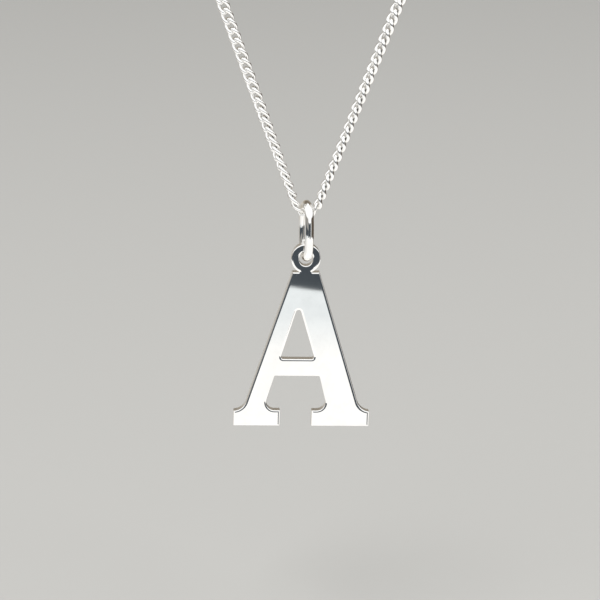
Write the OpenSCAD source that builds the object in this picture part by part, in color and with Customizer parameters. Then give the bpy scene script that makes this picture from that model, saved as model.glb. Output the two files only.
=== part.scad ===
// Initial pendant necklace: a slab-serif capital A cut from silver sheet, hung by an oval bail on
// a curb chain. The origin is the top of the chain's loop, at the nape, and the letter's front
// faces -Y. Heights inside the letter are measured up from its base line, and its X from the axis
// of its ring.

/* [Letter] */
// Height of the letter without its ring
letter_h = 20.22; // [18:0.02:24]
// Thickness of the silver sheet
plate_t = 1.1; // [1:0.05:1.3]
// Reach of the flat top to the left of the ring's axis
top_left = 1.62; // [1.4:0.01:2]
// Reach of the flat top to its right
top_right = 1.73; // [1.4:0.01:2]
// Reach of the thin leg's outer edge to the left, at the base line
thin_reach = 8.05; // [7.4:0.01:8.6]
// Reach of the thick leg's outer edge to the right, at the base line
thick_reach = 7.99; // [7.4:0.01:8.6]
// Width of the thin leg, at the base line
thin_leg_w = 2.5; // [2.1:0.01:2.9]
// Width of the thick leg, at the base line
thick_leg_w = 3.88; // [3.4:0.01:4.2]
// Drop of the counter's pointed top below the letter's top
apex_drop = 4.05; // [3.4:0.01:4.6]
// Place of the counter's pointed top, left of the ring's axis
apex_left = 0.74; // [0.4:0.01:1]
// Height of the crossbar's lower edge
bar_z = 6.66; // [5.8:0.01:7.2]
// Height of the crossbar itself
bar_h = 2.21; // [1.6:0.01:2.6]
// Radius at the counter's pointed top
apex_r = 0.33; // [0.2:0.01:0.4]
// Radius at the counter's lower corners
counter_r = 0.3; // [0.1:0.01:0.4]
// Radius under the crossbar, at each end
notch_top_r = 0.2; // [0.1:0.01:0.4]
// How far the thick leg's inner edge steps in by the foot
thick_ease = 0.22; // [0.1:0.01:0.4]
// Lean of the letter, which its heavier right leg pulls down
letter_lean = 0.5; // [0:0.1:2]

/* [Feet] */
// Thickness of the feet at their outer ends
foot_t = 1.93; // [1.6:0.01:2.2]
// Thickness of the feet between the legs
inner_foot_t = 2.03; // [1.7:0.01:2.3]
// Overhang of the left foot beyond the thin leg's outer edge
left_overhang = 0.57; // [0.4:0.01:1]
// Overhang of the right foot beyond the thick leg's outer edge
right_overhang = 0.5; // [0.4:0.01:1]
// Width of the left foot
left_foot_w = 5.82; // [5:0.01:6.4]
// Width of the right foot
right_foot_w = 7.25; // [6.2:0.01:7.6]
// Radius of the bracket outside the thin leg
left_bracket_r = 1.7; // [1.4:0.05:2.2]
// Radius of the bracket outside the thick leg
right_bracket_r = 1.7; // [1.4:0.05:2.2]
// Radius of the brackets between the legs
inner_bracket_r = 1.1; // [0.8:0.05:1.4]

/* [Letter ring] */
// Width across the ring
ring_w = 3.6; // [3.3:0.02:4]
// Width of its hole
hole_w = 1.72; // [1.6:0.02:2]
// How much taller than wide the ring and its hole are
ring_stretch = 0.15; // [0.1:0.01:0.3]
// Height of the middle of the ring above the letter's top
ring_rise = 1.78; // [1.75:0.01:2]
// Width of the neck that joins the ring to the letter
neck_w = 1.4; // [1:0.05:1.8]

/* [Bail] */
// Height of the oval jump ring
bail_h = 7.75; // [7:0.05:9]
// Depth of the oval jump ring, front to back
bail_d = 4.7; // [4.5:0.05:5.2]
// Thickness of its wire
bail_wire = 1.1; // [0.9:0.05:1.15]
// Turn of the bail about the vertical
bail_yaw = 8.9; // [0:0.1:10]
// Clearance between the bail and the letter's ring that hangs on it
ring_gap = 0.1; // [0.08:0.01:0.14]
// Clearance between the bail and the lowest link that it hangs on
chain_gap = 0.1; // [0.08:0.01:0.15]

/* [Chain] */
// Length of the whole necklace, once round
chain_len = 450; // [400:5:500]
// Width of the curb chain
chain_w = 1.4; // [1.3:0.01:1.5]
// Outer length of one link
link_l = 2.12; // [2.06:0.01:2.2]
// Spacing of the links
link_spacing = 1.285; // [1.26:0.005:1.31]
// Thickness of the link's wire
link_wire = 0.32; // [0.28:0.01:0.34]
// Thickness of the wire in the three links at the bend
bend_wire = 0.24; // [0.2:0.01:0.26]
// Twist of each link from its middle to its end
link_twist = 57; // [54:1:60]
// Links on each side of the lowest one that are modelled singly
front_links = 30; // [24:1:36]
// Half angle of the V that the chain hangs in
v_half = 20.2; // [18:0.1:23]
// Radius in which the chain passes under the bail
low_r = 1.35; // [1.3:0.05:1.6]
// Turn of each link against the next, away from the bail
roll_step = 7; // [5:0.5:9]
// Turn of the right strand's links where it has settled
right_roll = 50; // [40:1:60]

/* [Clasp] */
// Width across the bolt ring
clasp_w = 5; // [4.6:0.1:6]
// Thickness of the bolt ring's tube
clasp_wire = 0.9; // [0.8:0.05:1]
// Width across the eye that is soldered to the bolt ring
eye_w = 2; // [1.8:0.05:2.4]
// Thickness of the eye's wire
eye_wire = 0.5; // [0.4:0.05:0.6]
// Length of the bolt ring's trigger
trigger_l = 0.9; // [0.6:0.1:1.2]
// Thickness of the trigger
trigger_d = 0.6; // [0.5:0.05:0.8]
// Width across the chain's end ring
end_ring_w = 2.8; // [2.6:0.05:3.2]
// Thickness of the end ring's wire
end_ring_wire = 0.5; // [0.4:0.05:0.6]
// Clearance between neighbouring pieces at the clasp and at the chain's joints
link_gap = 0.12; // [0.1:0.01:0.2]

/* [Hidden] */
silver = [0.86, 0.86, 0.85];

// Mesh of a link: segments round it, sides of its wire, and the squareness of its oval
link_segments = 12;
wire_sides = 6;
link_square = 2.6;
// Links on each side of the lowest one that are at the bend
bend_links = 1;
// Turn of the links at the bend, so that they lie flat under the bail
bend_roll = 90;
// Mesh of the back of the chain: sides of the tube, and rings on each side
tube_sides = 8;
tube_rings = 40;
// Smoothness of round parts
$fn = 64;
// Spare depth of a cut past the surface that it opens
spare = 1;
corner_lap = 0.003;          // a corner's circle runs past its two sides, so that they meet cleanly
// Depth by which soldered parts run into each other
solder = 0.1;

// The loop: a small arc under the bail, two straight sides and a large arc round the neck
low_turn = 90 - v_half;
top_turn = 90 + v_half;
low_arc = low_r * low_turn * PI / 180;
top_r = (chain_len / 2 - low_arc + low_r / tan(v_half)) / (1 / tan(v_half) + top_turn * PI / 180);
side_len = (top_r - low_r) / tan(v_half);
loop_h = low_r * (1 - sin(v_half)) + side_len * cos(v_half) + top_r * (1 + sin(v_half));

// Size of a link's wire centreline
link_len = link_l - link_wire;
link_wid = chain_w - link_wire;

// The lowest link, and half its thickness where it lies flat
low_link_z = -loop_h + low_r * (1 - cos(link_spacing / 2 / low_r * 180 / PI));
link_half_t = max([for (t = [0:5:355]) link_across(t) * sin(link_twist * link_along(t) * 2 / link_len)])
    + bend_wire / 2;

// The bail hangs on the lowest link, and the letter's ring hangs on the bail
bail_r = (bail_d - bail_wire) / 2;
bail_straight = bail_h - bail_d;
bail_z = low_link_z + link_half_t + chain_gap + bail_wire - bail_h / 2;
bail_seat_y = plate_t / 2 / cos(bail_yaw);
bail_seat_z = bail_z - bail_straight / 2 - sqrt(pow(bail_r - bail_wire / 2, 2) - pow(bail_seat_y, 2));
ring_z = letter_h + ring_rise;
letter_z = bail_seat_z + ring_gap - (ring_z + ring_stretch / 2 + hole_w / 2);

// The letter's edges, as points at the base line and at the top
thin_foot = [-thin_reach, 0];
thin_top = [-top_left, letter_h];
thick_foot = [thick_reach, 0];
thick_top = [top_right, letter_h];
apex = [-apex_left, letter_h - apex_drop];
thin_inner = [-thin_reach + thin_leg_w, 0];
thick_inner = [thick_reach - thick_leg_w, 0];
left_foot_x = -thin_reach - left_overhang;
right_foot_x = thick_reach + right_overhang;

// The clasp's pieces, left to right along the top of the loop
clasp_r = (clasp_w - clasp_wire) / 2;
eye_r = (eye_w - eye_wire) / 2;
end_ring_r = (end_ring_w - end_ring_wire) / 2;
eye_x = clasp_w / 2 + eye_wire / 2 + eye_r - solder;
end_ring_x = -clasp_r + clasp_wire / 2 + link_gap + end_ring_wire / 2 - end_ring_r;
left_end = -end_ring_x + end_ring_w / 2 + link_gap;
right_end = eye_x + eye_w / 2 + link_gap;
front_end = front_links * link_spacing + link_l / 2 + link_gap;

function unit(v) = v / norm(v);
// Point at height z on the line through a and b
function at_height(a, b, z) = a + (b - a) * (z - a[1]) / (b[1] - a[1]);
// Half of the angle at the corner p, between its sides to a and to b
function half_angle(p, a, b) = acos(unit(a - p) * unit(b - p)) / 2;

// Point of the loop at the distance s from its lowest point, right side positive
function right_side(s) =
    s <= low_arc
        ? let (q = s / low_r * 180 / PI) [low_r * sin(q), 0, -loop_h + low_r * (1 - cos(q))]
    : s <= low_arc + side_len
        ? let (u = s - low_arc)
            [low_r * cos(v_half) + u * sin(v_half), 0, -loop_h + low_r * (1 - sin(v_half)) + u * cos(v_half)]
    : let (q = low_turn + (s - low_arc - side_len) / top_r * 180 / PI)
        [top_r * sin(q), 0, -top_r - top_r * cos(q)];
function route(s) = let (p = right_side(abs(s))) [s < 0 ? -p[0] : p[0], 0, p[2]];

// Centreline of a link at the angle t round it, along and across the chain
function rounded(c) = sign(c) * pow(abs(c), 2 / link_square);
function link_along(t) = link_len / 2 * rounded(cos(t));
function link_across(t) = link_wid / 2 * rounded(sin(t));
function link_roll(i) =
    max(bend_roll - roll_step * max(0, abs(i) - bend_links), i < 0 ? 0 : right_roll);
function link_point(middle, ahead, roll, t) =
    let (turn = roll + link_twist * link_along(t) * 2 / link_len,
         side = cross(ahead, [0, 1, 0]))
    middle + link_along(t) * ahead + link_across(t) * (cos(turn) * side + [0, sin(turn), 0]);

// Triangles between rings of points: ring k joins the next, and the last joins the first if closed
function skin(rings, sides, closed) =
    [for (k = [0:rings - (closed ? 1 : 2)], j = [0:sides - 1])
        let (a = k * sides + j, b = k * sides + (j + 1) % sides,
             c = (k + 1) % rings * sides + j, d = (k + 1) % rings * sides + (j + 1) % sides)
        each [[a, c, b], [b, c, d]]];

// Convex outline whose corners each have a radius of their own
module rounded_polygon(corners, radii) {
    n = len(corners);
    polygon([for (i = [0:n - 1])
        let (p = corners[i], a = corners[(i + n - 1) % n], b = corners[(i + 1) % n],
             reach = radii[i] / tan(half_angle(p, a, b)))
        each [p + unit(a - p) * reach, p + unit(b - p) * reach]]);
    for (i = [0:n - 1]) {
        p = corners[i];
        a = corners[(i + n - 1) % n];
        b = corners[(i + 1) % n];
        translate(p + unit(unit(a - p) + unit(b - p)) * radii[i] / sin(half_angle(p, a, b)))
            circle(radii[i] + corner_lap);
    }
}

// Bracket in the corner between a leg's outer edge and the top of its foot, cut off at foot_x
module outer_bracket(foot, top, r, foot_x) {
    corner = at_height(foot, top, foot_t);
    up = unit(top - foot);
    out = [sign(foot_x), 0];
    half = acos(up * out) / 2;
    centre = corner + unit(up + out) * r / sin(half);
    reach = r / tan(half);
    intersection() {
        difference() {
            polygon([corner - out * solder, corner + out * reach, centre, corner + up * reach,
                corner + up * reach - out * solder]);
            translate(centre) circle(r);
        }
        translate([min(0, foot_x), 0]) square([abs(foot_x), letter_h]);
    }
}

module letter_counter() {
    floor_z = bar_z + bar_h;
    rounded_polygon([apex, at_height(thin_inner, apex, floor_z), at_height(thick_inner, apex, floor_z)],
        [apex_r, counter_r, counter_r]);
}

// Opening under the crossbar, down to the feet and out between them
module letter_notch() {
    low_right = at_height(thick_inner, apex, inner_foot_t) - [thick_ease, 0];
    rounded_polygon([at_height(thick_inner, apex, bar_z), at_height(thin_inner, apex, bar_z),
        at_height(thin_inner, apex, inner_foot_t), low_right],
        [notch_top_r, notch_top_r, inner_bracket_r, inner_bracket_r]);
    gap_left = left_foot_x + left_foot_w;
    gap_right = right_foot_x - right_foot_w;
    translate([gap_left, -spare])
        square([gap_right - gap_left, inner_foot_t + inner_bracket_r + spare]);
}

// Upright slot shape of a given width, round the middle of the letter's ring
module ring_shape(width) {
    for (side = [-1, 1]) translate([0, ring_z + side * ring_stretch / 2]) circle(width / 2);
    translate([-width / 2, ring_z - ring_stretch / 2]) square([width, ring_stretch]);
}

module letter_body() {
    sheet() polygon([thin_foot, thin_top, thick_top, thick_foot]);
    sheet() translate([left_foot_x, 0]) square([left_foot_w, foot_t]);
    sheet() translate([right_foot_x - right_foot_w, 0]) square([right_foot_w, foot_t]);
    sheet() outer_bracket(thin_foot, thin_top, left_bracket_r, left_foot_x);
    sheet() outer_bracket(thick_foot, thick_top, right_bracket_r, right_foot_x);
    sheet() ring_shape(ring_w);
    sheet() translate([-neck_w / 2, letter_h - solder]) square([neck_w, ring_rise - hole_w / 2]);
}

// A flat shape as thick as the silver sheet, or thicker by the spare on each side
module sheet(more = 0) {
    linear_extrude(height = plate_t + 2 * more, center = true) children();
}

module letter() {
    color(silver) translate([0, 0, letter_z]) rotate([90, 0, 0])
        translate([0, ring_z, 0]) rotate(-letter_lean) translate([0, -ring_z, 0]) difference() {
            union() letter_body();
            sheet(spare) letter_counter();
            sheet(spare) letter_notch();
            sheet(spare) ring_shape(hole_w);
        }
}

module bail_bend() {
    translate([0, 0, bail_straight / 2]) rotate([90, 0, 90])
        rotate_extrude(angle = 180) translate([bail_r, 0]) circle(d = bail_wire);
}

module bail() {
    color(silver) translate([0, 0, bail_z]) rotate([0, 0, bail_yaw]) {
        bail_bend();
        mirror([0, 0, 1]) bail_bend();
        for (side = [-1, 1]) translate([0, side * bail_r, 0])
            cylinder(h = bail_straight, d = bail_wire, center = true);
    }
}

// One twisted oval link, numbered from the lowest one
module chain_link(i) {
    low = route((i - 0.5) * link_spacing);
    high = route((i + 0.5) * link_spacing);
    middle = (low + high) / 2;
    ahead = unit(high - low);
    roll = link_roll(i);
    wire_r = (abs(i) <= bend_links ? bend_wire : link_wire) / 2;
    step = 360 / link_segments;
    points = [for (k = [0:link_segments - 1], j = [0:wire_sides - 1])
        let (t = (k + 0.5) * step,
             p = link_point(middle, ahead, roll, t),
             along = unit(link_point(middle, ahead, roll, t + 1) - link_point(middle, ahead, roll, t - 1)),
             out = unit((p - middle) - ((p - middle) * along) * along),
             q = j * 360 / wire_sides)
        p + wire_r * (cos(q) * out + sin(q) * cross(along, out))];
    polyhedron(points, skin(link_segments, wire_sides, true), convexity = 4);
}

module chain_front() {
    color(silver) for (i = [-front_links:front_links]) chain_link(i);
}

// Tube along the loop, between two distances from its lowest point
module chain_tube(from, to) {
    step = (to - from) / (tube_rings - 1);
    points = [for (k = [0:tube_rings - 1], j = [0:tube_sides - 1])
        let (s = from + k * step,
             ahead = unit(route(s + step / 10) - route(s - step / 10)),
             side = cross(ahead, [0, 1, 0]),
             q = (j + 0.5) * 360 / tube_sides)
        route(s) + chain_w / 2 * (cos(q) * side + [0, sin(q), 0])];
    last = (tube_rings - 1) * tube_sides;
    first_cap = [for (j = [0:tube_sides - 1]) j];
    last_cap = [for (j = [tube_sides - 1:-1:0]) last + j];
    polyhedron(points, concat(skin(tube_rings, tube_sides, false), [first_cap, last_cap]), convexity = 6);
}

module chain_back() {
    color(silver) {
        chain_tube(front_end, chain_len / 2 - right_end);
        chain_tube(-chain_len / 2 + left_end, -front_end);
    }
}

module wire_ring(r, wire) {
    rotate_extrude() translate([r, 0]) circle(d = wire);
}

module clasp() {
    color(silver) rotate([90, 0, 0]) {
        wire_ring(clasp_r, clasp_wire);
        translate([eye_x, 0, 0]) wire_ring(eye_r, eye_wire);
        rotate([90, 0, 0]) translate([0, 0, clasp_r]) cylinder(h = clasp_wire / 2 + trigger_l, d = trigger_d);
    }
}

module end_ring() {
    color(silver) translate([end_ring_x, 0, 0]) wire_ring(end_ring_r, end_ring_wire);
}

letter();
bail();
chain_front();
chain_back();
clasp();
end_ring();
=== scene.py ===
"""Looks of the initial pendant necklace: a polished silver letter A on an oval bail and a curb chain.

Lengths are in millimetres and angles in degrees, in the CAD part's frame. MM turns lengths into
metres where they reach Blender. A letter's points are (x, z), with z measured up from its base line."""
import math

import bpy
import numpy as np
from mathutils import Matrix, Vector
from mathutils.geometry import tessellate_polygon


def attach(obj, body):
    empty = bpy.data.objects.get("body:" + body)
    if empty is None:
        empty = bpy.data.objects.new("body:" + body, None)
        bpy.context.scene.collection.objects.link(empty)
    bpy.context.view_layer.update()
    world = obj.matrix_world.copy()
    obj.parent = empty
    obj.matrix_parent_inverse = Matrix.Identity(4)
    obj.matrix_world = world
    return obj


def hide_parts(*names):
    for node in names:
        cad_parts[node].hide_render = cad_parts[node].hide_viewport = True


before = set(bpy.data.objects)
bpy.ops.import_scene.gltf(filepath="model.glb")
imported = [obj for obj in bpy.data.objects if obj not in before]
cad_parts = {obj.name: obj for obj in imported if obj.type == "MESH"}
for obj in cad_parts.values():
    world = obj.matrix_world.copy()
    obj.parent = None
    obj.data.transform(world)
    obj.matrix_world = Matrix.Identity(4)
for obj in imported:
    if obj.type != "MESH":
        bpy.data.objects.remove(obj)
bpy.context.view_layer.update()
MM = 0.001

# The letter, as in part.scad
LETTER_H = 20.22
PLATE_T = 1.1
TOP_LEFT = 1.62        # reach of the flat top to the left of the ring's axis
TOP_RIGHT = 1.73
THIN_REACH = 8.05      # reach of the thin leg's outer edge to the left, at the base line
THICK_REACH = 7.99
THIN_LEG_W = 2.5
THICK_LEG_W = 3.88
APEX_DROP = 4.05       # the counter's pointed top, below the letter's top
APEX_LEFT = 0.74
BAR_Z = 6.66           # the crossbar's lower edge
BAR_H = 2.21
APEX_R = 0.33
COUNTER_R = 0.3
NOTCH_TOP_R = 0.2      # radius under the crossbar, at each end
THICK_EASE = 0.22      # how far the thick leg's inner edge steps in by the foot
LETTER_LEAN = 0.5
FOOT_T = 1.93
INNER_FOOT_T = 2.03
LEFT_OVERHANG = 0.57
RIGHT_OVERHANG = 0.5
LEFT_FOOT_W = 5.82
RIGHT_FOOT_W = 7.25
LEFT_BRACKET_R = 1.7
RIGHT_BRACKET_R = 1.7
INNER_BRACKET_R = 1.1
RING_W = 3.6
HOLE_W = 1.72
RING_STRETCH = 0.15    # how much taller than wide the ring and its hole are
RING_RISE = 1.78       # the ring's middle, above the letter's top

# The bail, as in part.scad
BAIL_H = 7.75
BAIL_D = 4.7
BAIL_WIRE = 1.1
BAIL_YAW = 8.9
RING_GAP = 0.1
CHAIN_GAP = 0.1

# The chain, as in part.scad
CHAIN_LEN = 450.0
CHAIN_W = 1.4
LINK_L = 2.12
SPACING = 1.285
LINK_WIRE = 0.32
BEND_WIRE = 0.24
LINK_TWIST = 57.0      # twist of each link from its middle to its end
LINK_SQUARE = 2.6      # how square the link's oval is
FRONT_LINKS = 30       # links on each side of the lowest one
BEND_LINKS = 1         # how many of them are at the bend
BEND_ROLL = 90.0
V_HALF = 20.2
LOW_R = 1.35

# The clasp, as in part.scad
CLASP_W = 5.0
CLASP_WIRE = 0.9
EYE_W = 2.0
EYE_WIRE = 0.5
TRIGGER_L = 0.9
TRIGGER_D = 0.6
END_RING_W = 2.8
END_RING_WIRE = 0.5
LINK_GAP = 0.12
SOLDER = 0.1

# The rounding of the letter's edges: how far in it reaches, and how deep for each unit of reach
EDGE_R = 0.27
RIGHT_EDGE_R = 0.37    # at the end of the right bracket
RING_EDGE_R = 0.25
RING_LOW_EDGE_R = 0.38
HOLE_EDGE_R = 0.2
EDGE_DEPTH = 0.28
NECK_FILLET = 0.055    # radius between the ring and the letter's flat top
NECK_FADE = 15         # stretch of the ring in which its rounding grows, from the neck
RING_LOW_AT = -45      # where the ring's rounding is widest
RING_LOW_SPREAD = 25
EDGE_STEPS = 9
CORNER_STEPS = 12
BRACKET_STEPS = 14
FILLET_STEPS = 6
RING_STEPS = 60
HOLE_STEPS = 40

# The real bail and links, which are fuller than the solids that keep clear of each other
BAIL_END_R = 1.62      # radius of the bail's two ends, between longer curves
BAIL_END_STEPS = 60
BAIL_SIDE_STEPS = 34
BAIL_SIDES = 32
REAL_WIRE = 0.5
REAL_BEND_WIRE = 0.36
REAL_LINK_L = 2.27
REAL_CHAIN_W = 1.56
BEND_CHAIN_W = 1.45
REAL_SQUARE = 2.5
HOLD_GAP = 0.03        # between a last link and the ring that it holds
LEFT_ROLL_STEP = 5.0   # turn of each link against the next, up the left strand
LEFT_ROLL_MOST = 80
RIGHT_ROLL_STEP = 2.1
RIGHT_ROLL_MOST = 46
LEFT_NAPE_ROLL = 180.0
RIGHT_NAPE_ROLL = 90.0
FRONT_SEGMENTS = 56
FRONT_SIDES = 10
BACK_SEGMENTS = 40
BACK_SIDES = 8

# The bolt ring's gate, between two fine seams, and the neck of its trigger
GATE_START = 195
GATE_END = 262
GATE_STEP = 0.05
SEAM_DEPTH = 0.05
SEAM_SPREAD = 1.3
STEM_R = 0.18
STEM_TOP_R = 0.19
STEM_TOP = 0.62        # its heights above the trigger's lower end
STEM_FROM = 0.8
JOIN_AT = 90           # the soldered join of the end ring
JOIN_DEPTH = 0.012
JOIN_SPREAD = 2.0
BOLT_RING_STEPS = 220
CLASP_SIDES = 28
EYE_STEPS = 72
EYE_SIDES = 18
TRIGGER_SIDES = 24
END_RING_STEPS = 120
END_RING_SIDES = 20

# How coarse the silver's marks are: soft smudges, fine grain, a slow wave, and polishing hairs
SMUDGE_SCALE = 420.0
GRAIN_SCALE = 2600.0
WAVE_SCALE = 160.0
HAIR_SCALE = (60.0, 1500.0, 4200.0)
HAIR_TURN = (0.3, 0.9, 0.5)
CUT_SMUDGE_SCALE = 500.0
CUT_LINE_SCALE = (9.0, 0.35, 1.0)
CUT_LINE_DEPTH = 0.000012
SILVER_TINT = (0.965, 0.955, 0.935)
CHAIN_TINT = (0.965, 0.957, 0.94)
CUT_LIGHT = (0.9, 0.89, 0.87)
CUT_DARK = (0.74, 0.73, 0.71)

# The stage: half its size, its height, its colour, and what the camera sees past it
STAGE_HALF = 6000
STAGE_Z = -245
STAGE_COLOUR = (0.44, 0.435, 0.42, 1)
BACKDROP = (0.59, 0.59, 0.58)
# The lamps: name, place, width and power, with lengths in metres
LAMPS = (("key", (-0.35, -0.45, 0.75), 0.7, 9.0), ("fill", (0.6, -0.3, 0.5), 0.8, 4.0))
LAMP_AIM = (0, 0, -0.2)

# The camera, found from the photograph
CAMERA_AZ = -3.4
CAMERA_EL = 17.16
CAMERA_ROLL = 1.03
CAMERA_DISTANCE = 300
CAMERA_AIM = (-0.67, -0.75, -198.88)
SENSOR_W = 36
PHOTO_PIXELS = 600     # the photograph's width, and its focal length in the same pixels
FOCAL_PIXELS = 2410


def sin(a):
    return math.sin(math.radians(a))


def cos(a):
    return math.cos(math.radians(a))


def tan(a):
    return math.tan(math.radians(a))


def unit(v):
    return v / np.linalg.norm(v)


# The loop, as in part.scad
LOW_TURN, TOP_TURN = 90 - V_HALF, 90 + V_HALF
LOW_ARC = math.radians(LOW_R * LOW_TURN)
TOP_R = (CHAIN_LEN / 2 - LOW_ARC + LOW_R / tan(V_HALF)) / (1 / tan(V_HALF) + math.radians(TOP_TURN))
SIDE_LEN = (TOP_R - LOW_R) / tan(V_HALF)
LOOP_H = LOW_R * (1 - sin(V_HALF)) + SIDE_LEN * cos(V_HALF) + TOP_R * (1 + sin(V_HALF))


def route(s):
    """Point of the loop at the distance s from its lowest point, right side positive."""
    a = abs(s)
    if a <= LOW_ARC:
        q = math.degrees(a / LOW_R)
        x, z = LOW_R * sin(q), -LOOP_H + LOW_R * (1 - cos(q))
    elif a <= LOW_ARC + SIDE_LEN:
        u = a - LOW_ARC
        x = LOW_R * cos(V_HALF) + u * sin(V_HALF)
        z = -LOOP_H + LOW_R * (1 - sin(V_HALF)) + u * cos(V_HALF)
    else:
        q = LOW_TURN + math.degrees((a - LOW_ARC - SIDE_LEN) / TOP_R)
        x, z = TOP_R * sin(q), -TOP_R - TOP_R * cos(q)
    return np.array([math.copysign(x, s) if s else 0.0, 0.0, z])


def link_along(t, length, square):
    """How far along the strand a link's wire is at t radians round its oval."""
    return length / 2 * np.sign(np.cos(t)) * np.abs(np.cos(t)) ** (2 / square)


def link_across(t, width, square):
    """How far across the strand it is there."""
    return width / 2 * np.sign(np.sin(t)) * np.abs(np.sin(t)) ** (2 / square)


def lying_half_thickness():
    """Half the thickness of the CAD's lowest link, which lies flat under the bail."""
    length, width = LINK_L - LINK_WIRE, CHAIN_W - LINK_WIRE
    t = np.radians(np.arange(0, 360, 5))
    turn = np.radians(LINK_TWIST * link_along(t, length, LINK_SQUARE) * 2 / length)
    return float(np.max(link_across(t, width, LINK_SQUARE) * np.sin(turn))) + BEND_WIRE / 2


# Heights of the bail and of the letter, as in part.scad
LOW_LINK_Z = -LOOP_H + LOW_R * (1 - cos(math.degrees(SPACING / 2 / LOW_R)))
BAIL_R = (BAIL_D - BAIL_WIRE) / 2
BAIL_STRAIGHT = BAIL_H - BAIL_D
BAIL_Z = LOW_LINK_Z + lying_half_thickness() + CHAIN_GAP + BAIL_WIRE - BAIL_H / 2
SEAT_Y = PLATE_T / 2 / cos(BAIL_YAW)
BAIL_SEAT_Z = BAIL_Z - BAIL_STRAIGHT / 2 - math.sqrt((BAIL_R - BAIL_WIRE / 2) ** 2 - SEAT_Y ** 2)
RING_Z = LETTER_H + RING_RISE
LETTER_Z = BAIL_SEAT_Z + RING_GAP - (RING_Z + RING_STRETCH / 2 + HOLE_W / 2)

# Places of the clasp's rings, as in part.scad
CLASP_R = (CLASP_W - CLASP_WIRE) / 2
EYE_R = (EYE_W - EYE_WIRE) / 2
END_RING_R = (END_RING_W - END_RING_WIRE) / 2
EYE_X = CLASP_W / 2 + EYE_WIRE / 2 + EYE_R - SOLDER
END_RING_X = -CLASP_R + CLASP_WIRE / 2 + LINK_GAP + END_RING_WIRE / 2 - END_RING_R


def new_mesh(name, verts, faces, materials, smooth=True):
    """A mesh object from points in millimetres."""
    mesh = bpy.data.meshes.new(name)
    mesh.from_pydata((np.asarray(verts, float) * MM).tolist(), [], [list(map(int, f)) for f in faces])
    for m in materials:
        mesh.materials.append(m)
    mesh.polygons.foreach_set("use_smooth", [smooth] * len(mesh.polygons))
    mesh.update()
    piece = bpy.data.objects.new(name, mesh)
    bpy.context.scene.collection.objects.link(piece)
    return piece


# Node helpers

def nodes_of(name, kind=bpy.data.materials):
    """A new material or world with an empty node tree, and the tree."""
    owner = kind.new(name)
    owner.use_nodes = True
    owner.node_tree.nodes.clear()
    return owner, owner.node_tree


def add(tree, kind, **settings):
    """A node with the settings given: names of properties, or of inputs with in_ in front."""
    node = tree.nodes.new(kind)
    for key, value in settings.items():
        if key.startswith("in_"):
            node.inputs[key[3:].replace("_", " ")].default_value = value
        else:
            setattr(node, key, value)
    return node


def link(tree, a, b):
    tree.links.new(a, b)


def calc(tree, kind, a, b=None):
    """A Math node on sockets or numbers, and its output."""
    node = tree.nodes.new("ShaderNodeMath")
    node.operation = kind
    for i, x in enumerate((a, b)):
        if x is None:
            continue
        if isinstance(x, (int, float)):
            node.inputs[i].default_value = x
        else:
            link(tree, x, node.inputs[i])
    return node.outputs[0]


def ramp(tree, value, low, high, out_low=0.0, out_high=1.0):
    """A smooth step of value from low to high."""
    node = tree.nodes.new("ShaderNodeMapRange")
    node.interpolation_type = "SMOOTHSTEP"
    link(tree, value, node.inputs["Value"])
    for key, x in (("From Min", low), ("From Max", high), ("To Min", out_low), ("To Max", out_high)):
        node.inputs[key].default_value = x
    return node.outputs[0]


def band(tree, value, span):
    """1 between the span's two middle values, falling to 0 at its first and at its last."""
    low, full, wane, high = span
    return calc(tree, "MULTIPLY", ramp(tree, value, low, full), ramp(tree, value, wane, high, 1.0, 0.0))


def mix_colour(tree, factor, a, b):
    """Colour a where the factor's socket gives 0 and b where it gives 1."""
    node = tree.nodes.new("ShaderNodeMix")
    node.data_type = "RGBA"
    link(tree, factor, node.inputs[0])
    for i, x in ((6, a), (7, b)):
        if isinstance(x, tuple):
            node.inputs[i].default_value = (*x, 1.0)
        else:
            link(tree, x, node.inputs[i])
    return node.outputs[2]


def noise(tree, place, scale, detail, rough):
    node = add(tree, "ShaderNodeTexNoise", in_Scale=scale, in_Detail=detail, in_Roughness=rough)
    link(tree, place, node.inputs["Vector"])
    return node.outputs["Fac"]


def silver(name, rough, smudge, wave, scratch, tint=SILVER_TINT):
    """Polished silver: faint smudges in its roughness, a slow wave and hair scratches in its surface.
    The heights of the wave and of the scratches are in metres."""
    mat, tree = nodes_of(name)
    out = add(tree, "ShaderNodeOutputMaterial")
    metal = add(tree, "ShaderNodeBsdfPrincipled", in_Metallic=1.0)
    link(tree, metal.outputs[0], out.inputs[0])
    place = add(tree, "ShaderNodeTexCoord").outputs["Object"]
    cloud = noise(tree, place, SMUDGE_SCALE, 3.0, 0.6)
    fine = noise(tree, place, GRAIN_SCALE, 2.0, 0.6)
    dark = tuple(c * 0.93 for c in tint)
    colour = mix_colour(tree, ramp(tree, cloud, 0.3, 0.75), tint, dark)
    link(tree, colour, metal.inputs["Base Color"])
    spots = calc(tree, "MULTIPLY", ramp(tree, cloud, 0.45, 0.8), smudge)
    grain = calc(tree, "MULTIPLY", fine, smudge * 0.5)
    total = calc(tree, "ADD", calc(tree, "ADD", spots, grain), rough)
    link(tree, total, metal.inputs["Roughness"])
    turn = add(tree, "ShaderNodeMapping", in_Rotation=HAIR_TURN, in_Scale=HAIR_SCALE)
    link(tree, place, turn.inputs["Vector"])
    hair = noise(tree, turn.outputs[0], 1.0, 2.0, 0.7)
    slow = noise(tree, place, WAVE_SCALE, 1.0, 0.4)
    first = add(tree, "ShaderNodeBump", in_Strength=1.0, in_Distance=wave)
    link(tree, slow, first.inputs["Height"])
    second = add(tree, "ShaderNodeBump", in_Strength=1.0, in_Distance=scratch)
    link(tree, hair, second.inputs["Height"])
    link(tree, first.outputs[0], second.inputs["Normal"])
    link(tree, second.outputs[0], metal.inputs["Normal"])
    return mat


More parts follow.
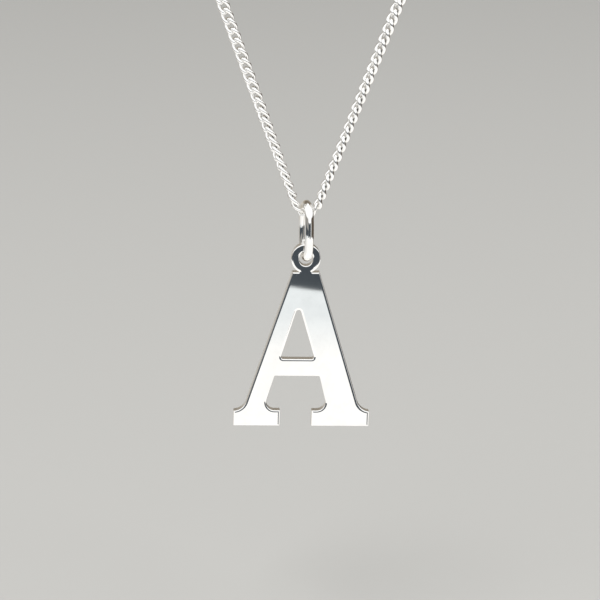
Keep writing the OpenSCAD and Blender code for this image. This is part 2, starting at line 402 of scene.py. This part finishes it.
def cut_silver(name):
    """The sawn and lightly finished side of the sheet, with fine lines across its thickness."""
    mat, tree = nodes_of(name)
    out = add(tree, "ShaderNodeOutputMaterial")
    metal = add(tree, "ShaderNodeBsdfPrincipled", in_Metallic=1.0)
    link(tree, metal.outputs[0], out.inputs[0])
    edge = add(tree, "ShaderNodeUVMap", uv_map="edge").outputs[0]
    stretch = add(tree, "ShaderNodeMapping", in_Scale=CUT_LINE_SCALE)
    link(tree, edge, stretch.inputs["Vector"])
    lines = noise(tree, stretch.outputs[0], 1.0, 3.0, 0.65)
    place = add(tree, "ShaderNodeTexCoord").outputs["Object"]
    cloud = noise(tree, place, CUT_SMUDGE_SCALE, 3.0, 0.6)
    colour = mix_colour(tree, ramp(tree, lines, 0.35, 0.7), CUT_LIGHT, CUT_DARK)
    link(tree, colour, metal.inputs["Base Color"])
    total = calc(tree, "ADD", calc(tree, "MULTIPLY", lines, 0.2), calc(tree, "MULTIPLY", cloud, 0.14))
    link(tree, calc(tree, "ADD", total, 0.12), metal.inputs["Roughness"])
    bump = add(tree, "ShaderNodeBump", in_Strength=1.0, in_Distance=CUT_LINE_DEPTH)
    link(tree, lines, bump.inputs["Height"])
    link(tree, bump.outputs[0], metal.inputs["Normal"])
    return mat


LETTER_SILVER = silver("letter_silver", rough=0.015, smudge=0.005, wave=0.0000012, scratch=0.00000004)
CUT_SILVER = cut_silver("letter_cut_silver")
BAIL_SILVER = silver("bail_silver", rough=0.05, smudge=0.06, wave=0.000003, scratch=0.0000008)
CHAIN_SILVER = silver("chain_silver", 0.07, 0.08, 0.000002, 0.0000008, CHAIN_TINT)
CLASP_SILVER = silver("clasp_silver", rough=0.08, smudge=0.08, wave=0.000003, scratch=0.0000012)


# The letter: a plate whose edges are rounded, from its outline and its two openings

def at_height(a, b, z):
    """The point at the height z on the line through a and b."""
    a, b = np.array(a, float), np.array(b, float)
    return a + (b - a) * (z - a[1]) / (b[1] - a[1])


def direction(v):
    """The angle of a vector, in degrees."""
    return math.degrees(math.atan2(v[1], v[0]))


class Outline:
    """A closed outline with the normals before and after each point, which differ at a sharp corner,
    and with the reach of the rounding there."""

    def __init__(self):
        self.points, self.before, self.after, self.edge = [], [], [], []

    def put(self, p, before, after, edge):
        self.points.append(np.array(p, float))
        self.before.append(np.array(before, float))
        self.after.append(np.array(after, float))
        self.edge.append(edge)

    def drop(self, i):
        for row in (self.points, self.before, self.after, self.edge):
            del row[i]

    def arc(self, centre, r, start, end, edge, steps):
        """An arc from the angle start to end. Its normal points out of the silver: away from the centre
        where the angle grows, and to the centre where it falls."""
        way = 1 if end > start else -1
        for k in range(steps + 1):
            q = start + (end - start) * k / steps
            n = np.array([cos(q), sin(q)])
            self.put(np.array(centre) + r * n, way * n, way * n, edge(q) if callable(edge) else edge)

    def corner(self, p, a, b, r):
        """A corner at p between a before it and b after it, rounded with the radius r or sharp."""
        p, a, b = (np.array(v, float) for v in (p, a, b))
        into, out = unit(p - a), unit(b - p)
        n_in, n_out = np.array([into[1], -into[0]]), np.array([out[1], -out[0]])
        if r <= 0:
            self.put(p, n_in, n_out, EDGE_R)
            return
        half = math.degrees(math.acos(float(np.dot(unit(a - p), unit(b - p))))) / 2
        centre = p + unit(unit(a - p) + unit(b - p)) * r / sin(half)
        left = into[0] * out[1] - into[1] * out[0] > 0
        start = direction(n_in if left else -n_in)
        end = direction(n_out if left else -n_out)
        if left and end < start:
            end += 360
        if not left and end > start:
            end -= 360
        self.arc(centre, r, start, end, EDGE_R, CORNER_STEPS)


class Bracket:
    """The arc between a foot's end and its leg. side is 1 on the right and -1 on the left."""

    def __init__(self, foot, top, r, foot_x, side):
        corner = at_height(foot, top, FOOT_T)
        up = unit(np.array(top, float) - np.array(foot, float))
        out = np.array([float(side), 0.0])
        half = math.degrees(math.acos(float(np.dot(up, out)))) / 2
        self.centre = corner + unit(up + out) * r / sin(half)
        end_z = self.centre[1] - math.sqrt(r ** 2 - (foot_x - self.centre[0]) ** 2)
        self.foot_point = (foot_x, end_z)
        self.low = direction(np.array(self.foot_point) - self.centre)
        tangent = corner + up * r / tan(half) - self.centre
        self.leg_point = self.centre + tangent
        self.high = direction(tangent)
        self.foot_normal = -np.array([cos(self.low), sin(self.low)])
        self.r = r

    def bend(self, start, end):
        points = Outline()
        points.arc(self.centre, self.r, start, end, EDGE_R, BRACKET_STEPS)
        return points


THIN_FOOT, THIN_TOP = (-THIN_REACH, 0), (-TOP_LEFT, LETTER_H)
THICK_FOOT, THICK_TOP = (THICK_REACH, 0), (TOP_RIGHT, LETTER_H)
THIN_INNER, THICK_INNER = (-THIN_REACH + THIN_LEG_W, 0), (THICK_REACH - THICK_LEG_W, 0)
APEX = (-APEX_LEFT, LETTER_H - APEX_DROP)
LEFT_X, RIGHT_X = -THIN_REACH - LEFT_OVERHANG, THICK_REACH + RIGHT_OVERHANG


def outer_outline():
    """Round the letter from the left foot's inner end: under the crossbar, round the right foot, up the
    thick leg, round the ring, down the thin leg and round the left foot."""
    gap_left, gap_right = LEFT_X + LEFT_FOOT_W, RIGHT_X - RIGHT_FOOT_W
    low_left = at_height(THIN_INNER, APEX, INNER_FOOT_T)
    low_right = at_height(THICK_INNER, APEX, INNER_FOOT_T) - np.array([THICK_EASE, 0])
    bar_left, bar_right = at_height(THIN_INNER, APEX, BAR_Z), at_height(THICK_INNER, APEX, BAR_Z)
    walk = [(gap_left, 0, 0), (gap_left, INNER_FOOT_T, 0), (*low_left, INNER_BRACKET_R),
            (*bar_left, NOTCH_TOP_R), (*bar_right, NOTCH_TOP_R), (*low_right, INNER_BRACKET_R),
            (gap_right, INNER_FOOT_T, 0), (gap_right, 0, 0), (RIGHT_X, 0, 0)]
    ends = [(LEFT_X, 0)] + [w[:2] for w in walk] + [(RIGHT_X, FOOT_T)]
    outer = Outline()
    for k, (x, z, r) in enumerate(walk):
        outer.corner((x, z), ends[k], ends[k + 2], r)
    add_right_bracket(outer)
    add_ring(outer)
    add_left_bracket(outer)
    return outer


def add_right_bracket(outer):
    """From the right foot's end to the flat top. The rounding grows along the bracket."""
    bracket = Bracket(THICK_FOOT, THICK_TOP, RIGHT_BRACKET_R, RIGHT_X, 1)
    outer.put(bracket.foot_point, (1, 0), bracket.foot_normal, EDGE_R)
    bend = bracket.bend(bracket.low, bracket.high - (360 if bracket.high > bracket.low else 0))
    last = len(bend.points) - 1
    for i in range(1, last + 1):
        wide = EDGE_R + (RIGHT_EDGE_R - EDGE_R) * i / last
        outer.put(bend.points[i], bend.before[i], bend.after[i], wide)
    outer.corner(THICK_TOP, bracket.leg_point, (0, LETTER_H), 0)


def add_left_bracket(outer):
    """From the flat top to the left foot's end and its lower corner."""
    bracket = Bracket(THIN_FOOT, THIN_TOP, LEFT_BRACKET_R, LEFT_X, -1)
    outer.corner(THIN_TOP, (0, LETTER_H), bracket.leg_point, 0)
    bend = bracket.bend(bracket.high if bracket.high > bracket.low else bracket.high + 360, bracket.low)
    for i in range(len(bend.points) - 1):
        outer.put(bend.points[i], bend.before[i], bend.after[i], EDGE_R)
    outer.put(bracket.foot_point, bracket.foot_normal, (-1, 0), EDGE_R)
    outer.put((LEFT_X, 0), (-1, 0), (0, -1), EDGE_R)


def add_ring(outer):
    """The neck's two small fillets and the ring's outer edge, with a wider rounding on the ring."""
    r, low_z = RING_W / 2, RING_Z - RING_STRETCH / 2
    rise = low_z - LETTER_H
    centre_x = math.sqrt((r + NECK_FILLET) ** 2 - (rise - NECK_FILLET) ** 2)
    to_ring = math.degrees(math.atan2(rise - NECK_FILLET, -centre_x))
    start = to_ring - 180

    def edge(q):
        """The rounding along the ring, widest low on its right and narrow at the neck."""
        near = min(1.0, max(0.0, (q - start) / NECK_FADE), max(0.0, (180 - start - q) / NECK_FADE))
        low = max(0.0, 1 - abs(q - RING_LOW_AT) / RING_LOW_SPREAD)
        return EDGE_R + (RING_EDGE_R - EDGE_R + (RING_LOW_EDGE_R - RING_EDGE_R) * low) * near

    outer.arc((centre_x, LETTER_H + NECK_FILLET), NECK_FILLET, -90, to_ring - 360, EDGE_R, FILLET_STEPS)
    first = len(outer.points)
    outer.arc((0, low_z), r, start, 0, edge, RING_STEPS // 2)
    outer.drop(first)
    outer.arc((0, low_z + RING_STRETCH), r, 0, 180, edge, RING_STEPS)
    outer.arc((0, low_z), r, 180, 180 - start, edge, RING_STEPS // 2)
    outer.drop(len(outer.points) - 1)
    outer.arc((-centre_x, LETTER_H + NECK_FILLET), NECK_FILLET, -start, -90, EDGE_R, FILLET_STEPS)


def counter_outline():
    counter = Outline()
    floor_z = BAR_Z + BAR_H
    spots = [APEX, at_height(THICK_INNER, APEX, floor_z), at_height(THIN_INNER, APEX, floor_z)]
    for k, r in enumerate((APEX_R, COUNTER_R, COUNTER_R)):
        counter.corner(spots[k], spots[k - 1], spots[(k + 1) % 3], r)
    return counter


def hole_outline():
    hole = Outline()
    hole.arc((0, RING_Z + RING_STRETCH / 2), HOLE_W / 2, 180, 0, HOLE_EDGE_R, HOLE_STEPS)
    hole.arc((0, RING_Z - RING_STRETCH / 2), HOLE_W / 2, 0, -180, HOLE_EDGE_R, HOLE_STEPS)
    return hole


class Shell:
    """The plate's points and faces. Each face has its kind, 0 for polished and 1 for cut, and each of
    its corners has a normal and a place for the cut's texture."""

    def __init__(self):
        self.points, self.faces, self.kinds, self.normals, self.places = [], [], [], [], []

    def add_edge(self, outline):
        """The rounded front and back edges along an outline and the cut side between them. Gives the
        first points of the front's and of the back's rim, and how many points a rim has."""
        n = len(outline.points)
        flat = np.array(outline.points)
        before, after = np.array(outline.before), np.array(outline.after)
        radii = np.array(outline.edge)
        inward = -(before + after) / (1 + np.sum(before * after, axis=1))[:, None]
        run = np.concatenate([[0], np.cumsum(np.linalg.norm(np.roll(flat, -1, 0) - flat, axis=1))])
        turns = [90 * k / EDGE_STEPS for k in range(EDGE_STEPS + 1)]
        rims = [(-1, turn) for turn in turns] + [(1, turn) for turn in turns[::-1]]
        depths = []
        first = len(self.points)
        for side, turn in rims:
            rim = flat + inward * radii[:, None] * (1 - sin(turn))
            depths.append(side * (PLATE_T / 2 - EDGE_DEPTH * radii * (1 - cos(turn))))
            self.points += [(x, y, z) for (x, z), y in zip(rim, depths[-1])]
        for k in range(len(rims) - 1):
            for i in range(n):
                j = (i + 1) % n
                near, far = first + k * n, first + (k + 1) * n
                self.faces.append((near + i, far + i, far + j, near + j))
                self.kinds.append(1 if k == EDGE_STEPS else 0)
                for rim, at, own in ((k, i, after[i]), (k + 1, i, after[i]),
                                     (k + 1, j, before[j]), (k, j, before[j])):
                    side, turn = rims[rim]
                    lie = EDGE_DEPTH * sin(turn)
                    self.normals.append(unit(np.array([own[0] * lie, side * cos(turn), own[1] * lie])))
                    self.places.append((run[i + 1] if at == j else run[i], depths[rim][at]))
        return first, first + (len(rims) - 1) * n, n

    def add_flat(self, rims, side):
        """The flat front or back between the rims, each given by its first point and its count."""
        index = [first + i for first, n in rims for i in range(n)]
        loops = [[Vector((self.points[first + i][0], self.points[first + i][2], 0)) for i in range(n)]
                 for first, n in rims]
        for triangle in tessellate_polygon(loops):
            a, b, c = (index[t] for t in triangle)
            ab = np.array(self.points[b]) - np.array(self.points[a])
            ac = np.array(self.points[c]) - np.array(self.points[a])
            if np.cross(ab, ac)[1] * side < 0:
                b, c = c, b
            self.faces.append((a, b, c))
            self.kinds.append(0)
            self.normals += [(0, side, 0)] * 3
            self.places += [(self.points[v][0], self.points[v][2]) for v in (a, b, c)]


def build_letter():
    shell = Shell()
    edges = [shell.add_edge(outline) for outline in (outer_outline(), counter_outline(), hole_outline())]
    shell.add_flat([(front, n) for front, back, n in edges], -1)
    shell.add_flat([(back, n) for front, back, n in edges], 1)
    lean = np.array([[cos(LETTER_LEAN), 0, sin(LETTER_LEAN)], [0, 1, 0],
                     [-sin(LETTER_LEAN), 0, cos(LETTER_LEAN)]])
    points = np.array(shell.points)
    points[:, 2] -= RING_Z
    points = points @ lean.T
    points[:, 2] += RING_Z + LETTER_Z
    plate = new_mesh("letter_plate", points, shell.faces, [LETTER_SILVER, CUT_SILVER])
    plate.data.polygons.foreach_set("material_index", shell.kinds)
    layer = plate.data.uv_layers.new(name="edge")
    layer.data.foreach_set("uv", np.array(shell.places, float).ravel())
    plate.data.normals_split_custom_set((np.array(shell.normals, float) @ lean.T).tolist())
    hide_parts("letter")
    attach(plate, "letter")


def sweep(points, along, out, radius, sides):
    """Points and faces of a closed round wire along points. out is each point's direction for the first
    side, and radius is a number or one for each point."""
    n = len(points)
    side = np.cross(along, out)
    q = np.arange(sides) * 2 * math.pi / sides
    radius = np.broadcast_to(radius, (n,))
    ring = (points[:, None] + radius[:, None, None]
            * (np.cos(q)[None, :, None] * out[:, None] + np.sin(q)[None, :, None] * side[:, None]))
    here, ahead = np.arange(n)[:, None] * sides, (np.arange(n)[:, None] + 1) % n * sides
    this, other = np.arange(sides)[None], (np.arange(sides)[None] + 1) % sides
    corners = (here + this, here + other, ahead + other, ahead + this)
    return ring.reshape(-1, 3), np.stack([c.ravel() for c in corners], axis=1)


def build_bail():
    """An oval of two round ends and two long flat curves, turned about the vertical."""
    half_d, half_h, r = BAIL_R, (BAIL_H - BAIL_WIRE) / 2, BAIL_END_R
    long_r = (half_d ** 2 + half_h ** 2 - 2 * half_h * r) / (2 * (half_d - r))
    turn = math.degrees(math.atan2(half_h - r, long_r - half_d))
    arcs = ((half_d - long_r, 0, long_r, -turn, turn, BAIL_SIDE_STEPS),
            (0, half_h - r, r, turn, 180 - turn, BAIL_END_STEPS),
            (long_r - half_d, 0, long_r, 180 - turn, 180 + turn, BAIL_SIDE_STEPS),
            (0, r - half_h, r, 180 + turn, 360 - turn, BAIL_END_STEPS))
    points, outs = [], []
    for y, z, radius, start, end, steps in arcs:
        for k in range(steps):
            q = start + (end - start) * k / steps
            points.append((0, y + radius * cos(q), z + radius * sin(q)))
            outs.append((0, cos(q), sin(q)))
    outs = np.array(outs)
    along = np.cross(outs, np.array([-1.0, 0, 0]))
    verts, faces = sweep(np.array(points), along, outs, BAIL_WIRE / 2, BAIL_SIDES)
    yaw = np.array([[cos(BAIL_YAW), -sin(BAIL_YAW), 0], [sin(BAIL_YAW), cos(BAIL_YAW), 0], [0, 0, 1]])
    verts = verts @ yaw.T + np.array([0, 0, BAIL_Z])
    ring = new_mesh("bail_ring", verts, faces, [BAIL_SILVER])
    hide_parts("bail")
    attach(ring, "bail")


def link_mesh(low, high, roll, wire, segments, sides):
    """One twisted oval link between two points of the loop."""
    middle, ahead = (low + high) / 2, unit(high - low)
    length = REAL_LINK_L - REAL_WIRE
    width = (BEND_CHAIN_W if wire < REAL_WIRE else REAL_CHAIN_W) - REAL_WIRE
    depth_way = np.array([0.0, 1.0, 0.0])
    side = np.cross(ahead, depth_way)

    def place(t):
        ahead_by, across = link_along(t, length, REAL_SQUARE), link_across(t, width, REAL_SQUARE)
        turn = np.radians(roll + LINK_TWIST * ahead_by * 2 / length)
        out = np.cos(turn)[:, None] * side + np.sin(turn)[:, None] * depth_way
        return middle + ahead_by[:, None] * ahead + across[:, None] * out

    # Points evenly spaced along the wire, because the oval's corners draw them apart
    first, nudge = 0.03, 0.01
    dense = np.linspace(first, first + 2 * math.pi, 721)
    gone = np.linalg.norm(np.diff(place(dense), axis=0), axis=1).cumsum()
    t = np.interp(np.arange(segments) / segments * gone[-1], gone, dense[1:])
    p = place(t)
    along = place(t + nudge) - place(t - nudge)
    along /= np.linalg.norm(along, axis=1)[:, None]
    out = p - middle
    out -= np.sum(out * along, axis=1)[:, None] * along
    out /= np.linalg.norm(out, axis=1)[:, None]
    return sweep(p, along, out, wire / 2, sides)


def link_roll(i):
    """Turn of the front link i about the strand, from the lowest link, left side negative."""
    past = max(0, abs(i) - BEND_LINKS)
    if i < 0:
        return BEND_ROLL + min(LEFT_ROLL_STEP * past, LEFT_ROLL_MOST)
    return BEND_ROLL - min(RIGHT_ROLL_STEP * past, RIGHT_ROLL_MOST)


def front_links():
    return [(route((i - 0.5) * SPACING), route((i + 0.5) * SPACING), link_roll(i),
             REAL_BEND_WIRE if abs(i) <= BEND_LINKS else REAL_WIRE)
            for i in range(-FRONT_LINKS, FRONT_LINKS + 1)]


def back_links():
    """The links from each end of the front stretch, on the right to the clasp's eye and on the left to
    the end ring. Their spacing is that of whole links, and they turn slowly on the way."""
    links = []
    half_link = (REAL_LINK_L - REAL_WIRE) / 2
    start = FRONT_LINKS * SPACING
    for way, reach, held_wire, last_roll in ((1, EYE_X + EYE_R, EYE_WIRE, RIGHT_NAPE_ROLL),
                                             (-1, END_RING_R - END_RING_X, END_RING_WIRE, LEFT_NAPE_ROLL)):
        roll = link_roll(way * FRONT_LINKS)
        last = CHAIN_LEN / 2 - reach + held_wire / 2 + (REAL_WIRE / 2 + HOLD_GAP) - half_link
        count = round((last - start) / SPACING)
        step = (last - start) / count
        for k in range(1, count + 1):
            s = start + k * step
            share = min(1.0, k / (count - 1))
            links.append((route(way * (s - step / 2)), route(way * (s + step / 2)),
                          roll + (last_roll - roll) * share, REAL_WIRE))
    return links


def chain_object(name, links, segments, sides, node):
    verts, faces, count = [], [], 0
    for low, high, roll, wire in links:
        v, f = link_mesh(low, high, roll, wire, segments, sides)
        verts.append(v)
        faces.append(f + count)
        count += len(v)
    links_piece = new_mesh(name, np.concatenate(verts), np.concatenate(faces), [CHAIN_SILVER])
    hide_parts(node)
    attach(links_piece, "chain")


def torus(centre, r, radii, sides, plane="xz"):
    """A ring of wire in a plane. radii is the wire's radius at each of the ring's steps."""
    q = np.arange(len(radii)) * 2 * math.pi / len(radii)
    none = np.zeros(len(radii))
    if plane == "xz":
        out = np.stack([np.cos(q), none, np.sin(q)], axis=1)
        along = np.stack([-np.sin(q), none, np.cos(q)], axis=1)
    else:
        out = np.stack([np.cos(q), np.sin(q), none], axis=1)
        along = np.stack([-np.sin(q), np.cos(q), none], axis=1)
    return sweep(np.array(centre, float) + r * out, along, out, radii, sides)


def turned(profile, sides):
    """A body of revolution about the Z axis, from (radius, height) points, closed at both ends."""
    q = np.arange(sides) * 2 * math.pi / sides
    verts = [(r * math.cos(a), r * math.sin(a), z) for r, z in profile for a in q]
    faces = []
    for k in range(len(profile) - 1):
        for j in range(sides):
            i = (j + 1) % sides
            faces.append((k * sides + j, k * sides + i, (k + 1) * sides + i, (k + 1) * sides + j))
    top = len(verts)
    verts += [(0, 0, profile[0][1]), (0, 0, profile[-1][1])]
    last = (len(profile) - 1) * sides
    for j in range(sides):
        i = (j + 1) % sides
        faces.append((top, i, j))
        faces.append((top + 1, last + j, last + i))
    return np.array(verts), faces


def join(name, parts, node):
    """One piece of the clasp's silver from several bodies, each given by its points and faces."""
    verts, faces, count = [], [], 0
    for v, f in parts:
        verts.append(v)
        faces += [tuple(int(i) + count for i in face) for face in f]
        count += len(v)
    piece = new_mesh(name, np.concatenate(verts), faces, [CLASP_SILVER])
    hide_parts(node)
    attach(piece, "chain")


def dip(q, at, spread):
    """1 at the angle given, falling to 0 on both sides."""
    return np.exp(-((q - at) / spread) ** 2)


def build_bolt_ring():
    q = np.arange(BOLT_RING_STEPS) * 360 / BOLT_RING_STEPS
    radii = np.full(BOLT_RING_STEPS, CLASP_WIRE / 2)
    radii[(q > GATE_START) & (q < GATE_END)] -= GATE_STEP
    for seam in (GATE_START, GATE_END):
        radii -= SEAM_DEPTH * dip(q, seam, SEAM_SPREAD)
    ring = torus((0, 0, 0), CLASP_R, radii, CLASP_SIDES)
    eye = torus((EYE_X, 0, 0), EYE_R, np.full(EYE_STEPS, EYE_WIRE / 2), EYE_SIDES)
    end = -(CLASP_R + CLASP_WIRE / 2 + TRIGGER_L)
    ball = TRIGGER_D / 2
    knob = [(ball * sin(a), end + ball - ball * cos(a)) for a in range(6, 121, 6)]
    stem = [(STEM_TOP_R, end + STEM_TOP), (STEM_R, end + STEM_FROM), (STEM_R, -CLASP_R)]
    join("clasp_bolt_ring", [ring, eye, turned(knob + stem, TRIGGER_SIDES)], "clasp")


def build_end_ring():
    q = np.arange(END_RING_STEPS) * 360 / END_RING_STEPS
    radii = END_RING_WIRE / 2 - JOIN_DEPTH * dip(q, JOIN_AT, JOIN_SPREAD)
    join("chain_end_ring", [torus((END_RING_X, 0, 0), END_RING_R, radii, END_RING_SIDES, "xy")], "end_ring")


# The stage: a pale floor, soft lights, and the surroundings that the silver mirrors

def build_floor():
    mat, tree = nodes_of("stage_floor")
    out = add(tree, "ShaderNodeOutputMaterial")
    matt = add(tree, "ShaderNodeBsdfPrincipled", in_Roughness=0.9)
    matt.inputs["Base Color"].default_value = STAGE_COLOUR
    matt.inputs["Specular IOR Level"].default_value = 0.1
    link(tree, matt.outputs[0], out.inputs[0])
    corners = [(STAGE_HALF * x, STAGE_HALF * y, STAGE_Z) for x, y in ((-1, -1), (1, -1), (1, 1), (-1, 1))]
    floor = new_mesh("stage_floor", corners, [(0, 1, 2, 3)], [mat], smooth=False)
    floor.visible_glossy = False


def build_lamps():
    for name, place, width, power in LAMPS:
        data = bpy.data.lights.new(name, "AREA")
        data.shape, data.size, data.energy = "DISK", width, power
        lamp = bpy.data.objects.new(name, data)
        bpy.context.scene.collection.objects.link(lamp)
        lamp.location = place
        lamp.rotation_mode = "QUATERNION"
        lamp.rotation_quaternion = (Vector(place) - Vector(LAMP_AIM)).to_track_quat("Z", "Y")
        lamp.visible_camera = False
        lamp.visible_glossy = False


# What the silver mirrors, by direction. Azimuth is 0 in front of the necklace and grows to the
# right, and elevation is 0 at the horizon. A pair is where one thing gives way to another, and a
# span of four is where a thing begins, is full, begins to end and is gone.
BEHIND = (112, 135)              # azimuth either way
TABLE_END = (-16.535, -16.465)   # elevation, where the table gives way to the room
TABLE_TILT = 0.11                # how much lower its end is for each degree to the right
TILT_FROM, TILT_TO = -6.0, 12.0
TABLE_DROP = 2.6                 # how much lower it is in the drop's span, outside the face's
DROP_SPAN = (-34, -26, 26, 34)
FACE_SPAN = (-3.5, -1.5, 8.0, 10.0)   # what the letter's flat face mirrors
TABLE_FADE = (-18.9, -17.3)
TABLE_NEAR, TABLE_FAR = (1.13, 1.12, 1.1), (0.88, 0.925, 0.945)
TABLE_LEFT, TABLE_LEFT_MOST = (0.35, 0.34, 0.33), 0.3
TABLE_LEFT_AZ, TABLE_LEFT_EL = (-100.0, -30.0), (-45.0, -36.0)
TABLE_BACK, TABLE_BACK_EL = (0.5, 0.46, 0.4), (-60.0, -30.0)
CEILING_LOW, CEILING, CEILING_FADE = (1.15, 1.16, 1.17), (1.6, 1.6, 1.6), (55.0, 75.0)
WALL_TOP = (50.0, 75.0)
WALL_LOW_LEFT, WALL_LOW_RIGHT = (0.6, 0.57, 0.52), (0.16, 0.145, 0.125)
WALL_SIDES = (0.0, 0.12)         # sine of the way to the right
WALL_HIGH, WALL_HIGHEST = (0.4, 0.36, 0.3), (0.2, 0.17, 0.135)
WALL_FADE, WALL_HIGH_FADE = (0.0, 9.0), (20.0, 27.0)
GREY, GREY_SPANS = (0.34, 0.33, 0.31), ((-140, -110, -32, -22), (-40, -30, 3, 8))
BROWN, BROWN_SPANS = (0.11, 0.09, 0.072), ((42, 50, 130, 150), (-40, -30, 3, 8))
SHADE = (0.066, 0.078, 0.09)
CAMERA_SHADE_SPANS = ((-32, -22, 33, 39), (-40, -30, 0, 2.5))
LEFT_SHADE_SPANS = ((-112, -98, -30, -20), (-40, -30, -10, -7.5))


class Surround:
    """The colours of what the silver mirrors, as sockets of the world's node tree."""

    def __init__(self, tree):
        self.tree = tree
        way = add(tree, "ShaderNodeSeparateXYZ")
        link(tree, add(tree, "ShaderNodeTexCoord").outputs["Generated"], way.inputs[0])
        self.x, y, z = way.outputs
        degrees = 180 / math.pi
        self.el = self.calc("MULTIPLY", self.calc("ARCSINE", z), degrees)
        around = self.calc("ARCTAN2", self.x, self.calc("MULTIPLY", y, -1.0))
        self.az = self.calc("MULTIPLY", around, degrees)
        away = self.calc("ABSOLUTE", self.az)
        held = self.calc("MAXIMUM", self.calc("MINIMUM", self.az, TILT_TO), TILT_FROM)
        self.tilted = self.calc("ADD", self.el, self.calc("MULTIPLY", held, TABLE_TILT))
        self.behind = self.ramp(away, *BEHIND)

    def calc(self, kind, a, b=None):
        return calc(self.tree, kind, a, b)

    def ramp(self, value, low, high, out_low=0.0, out_high=1.0):
        return ramp(self.tree, value, low, high, out_low, out_high)

    def mix(self, factor, a, b):
        return mix_colour(self.tree, factor, a, b)

    def area(self, spans):
        """1 inside the spans of azimuth and elevation."""
        return self.calc("MULTIPLY", band(self.tree, self.az, spans[0]), band(self.tree, self.el, spans[1]))

    def table_mask(self):
        """1 on the table, up to its end, which is tilted and drops beside what the face mirrors."""
        drop = band(self.tree, self.az, DROP_SPAN)
        face = band(self.tree, self.az, FACE_SPAN)
        drop = self.calc("MULTIPLY", drop, self.calc("SUBTRACT", 1.0, face))
        end = self.calc("ADD", self.tilted, self.calc("MULTIPLY", drop, TABLE_DROP))
        return self.ramp(end, *TABLE_END, 1.0, 0.0)

    def table(self):
        """The white table in front, dimmer at the far left and behind."""
        table = self.mix(self.ramp(self.el, *TABLE_FADE), TABLE_NEAR, TABLE_FAR)
        left = self.calc("MULTIPLY", self.ramp(self.az, *TABLE_LEFT_AZ, TABLE_LEFT_MOST, 0.0),
                         self.ramp(self.el, *TABLE_LEFT_EL))
        table = self.mix(left, table, TABLE_LEFT)
        back = self.calc("MULTIPLY", self.behind, self.ramp(self.el, *TABLE_BACK_EL))
        return self.mix(back, table, TABLE_BACK)

    def room(self):
        """A bright ceiling, dim walls behind, a grey at the left, a brown at the right, and shade round
        the camera and under the left horizon."""
        ceiling = self.mix(self.ramp(self.el, *CEILING_FADE), CEILING_LOW, CEILING)
        wall = self.calc("MULTIPLY", self.behind, self.ramp(self.el, *WALL_TOP, 1.0, 0.0))
        low_wall = self.mix(self.ramp(self.x, *WALL_SIDES), WALL_LOW_LEFT, WALL_LOW_RIGHT)
        high_wall = self.mix(self.ramp(self.el, *WALL_HIGH_FADE), WALL_HIGH, WALL_HIGHEST)
        walls = self.mix(self.ramp(self.el, *WALL_FADE), low_wall, high_wall)
        room = self.mix(wall, ceiling, walls)
        room = self.mix(self.area(GREY_SPANS), room, GREY)
        camera_shade = self.area(CAMERA_SHADE_SPANS)
        left_shade = self.area(LEFT_SHADE_SPANS)
        room = self.mix(self.area(BROWN_SPANS), room, BROWN)
        return self.mix(self.calc("MAXIMUM", camera_shade, left_shade), room, SHADE)


def build_world():
    """What the silver mirrors. The camera sees a plain pale grey instead."""
    world, tree = nodes_of("studio", bpy.data.worlds)
    bpy.context.scene.world = world
    out = add(tree, "ShaderNodeOutputWorld")
    around = Surround(tree)
    table_mask = around.table_mask()
    table = around.table()
    colour = around.mix(table_mask, around.room(), table)
    mirrored = add(tree, "ShaderNodeLightPath").outputs["Is Glossy Ray"]
    seen = around.mix(mirrored, BACKDROP, colour)
    light = add(tree, "ShaderNodeBackground", in_Strength=1.0)
    link(tree, seen, light.inputs[0])
    link(tree, light.outputs[0], out.inputs[0])


def build_camera():
    back = Vector((sin(CAMERA_AZ) * cos(CAMERA_EL), -cos(CAMERA_AZ) * cos(CAMERA_EL), sin(CAMERA_EL)))
    data = bpy.data.cameras.new("camera")
    data.sensor_width, data.lens = SENSOR_W, SENSOR_W * FOCAL_PIXELS / PHOTO_PIXELS
    data.clip_start, data.clip_end = 0.01, 30
    cam = bpy.data.objects.new("camera", data)
    bpy.context.scene.collection.objects.link(cam)
    cam.rotation_mode = "QUATERNION"
    cam.location = Vector(CAMERA_AIM) * MM + back * (CAMERA_DISTANCE * MM)
    roll = Matrix.Rotation(math.radians(CAMERA_ROLL), 3, back)
    cam.rotation_quaternion = (roll @ (-back).to_track_quat("-Z", "Y").to_matrix()).to_quaternion()
    bpy.context.scene.camera = cam


build_letter()
build_bail()
chain_object("chain_links_front", front_links(), FRONT_SEGMENTS, FRONT_SIDES, "chain_front")
chain_object("chain_links_back", back_links(), BACK_SEGMENTS, BACK_SIDES, "chain_back")
build_bolt_ring()
build_end_ring()
build_floor()
build_lamps()
build_world()
build_camera()
bpy.context.scene.view_settings.view_transform = "Standard"
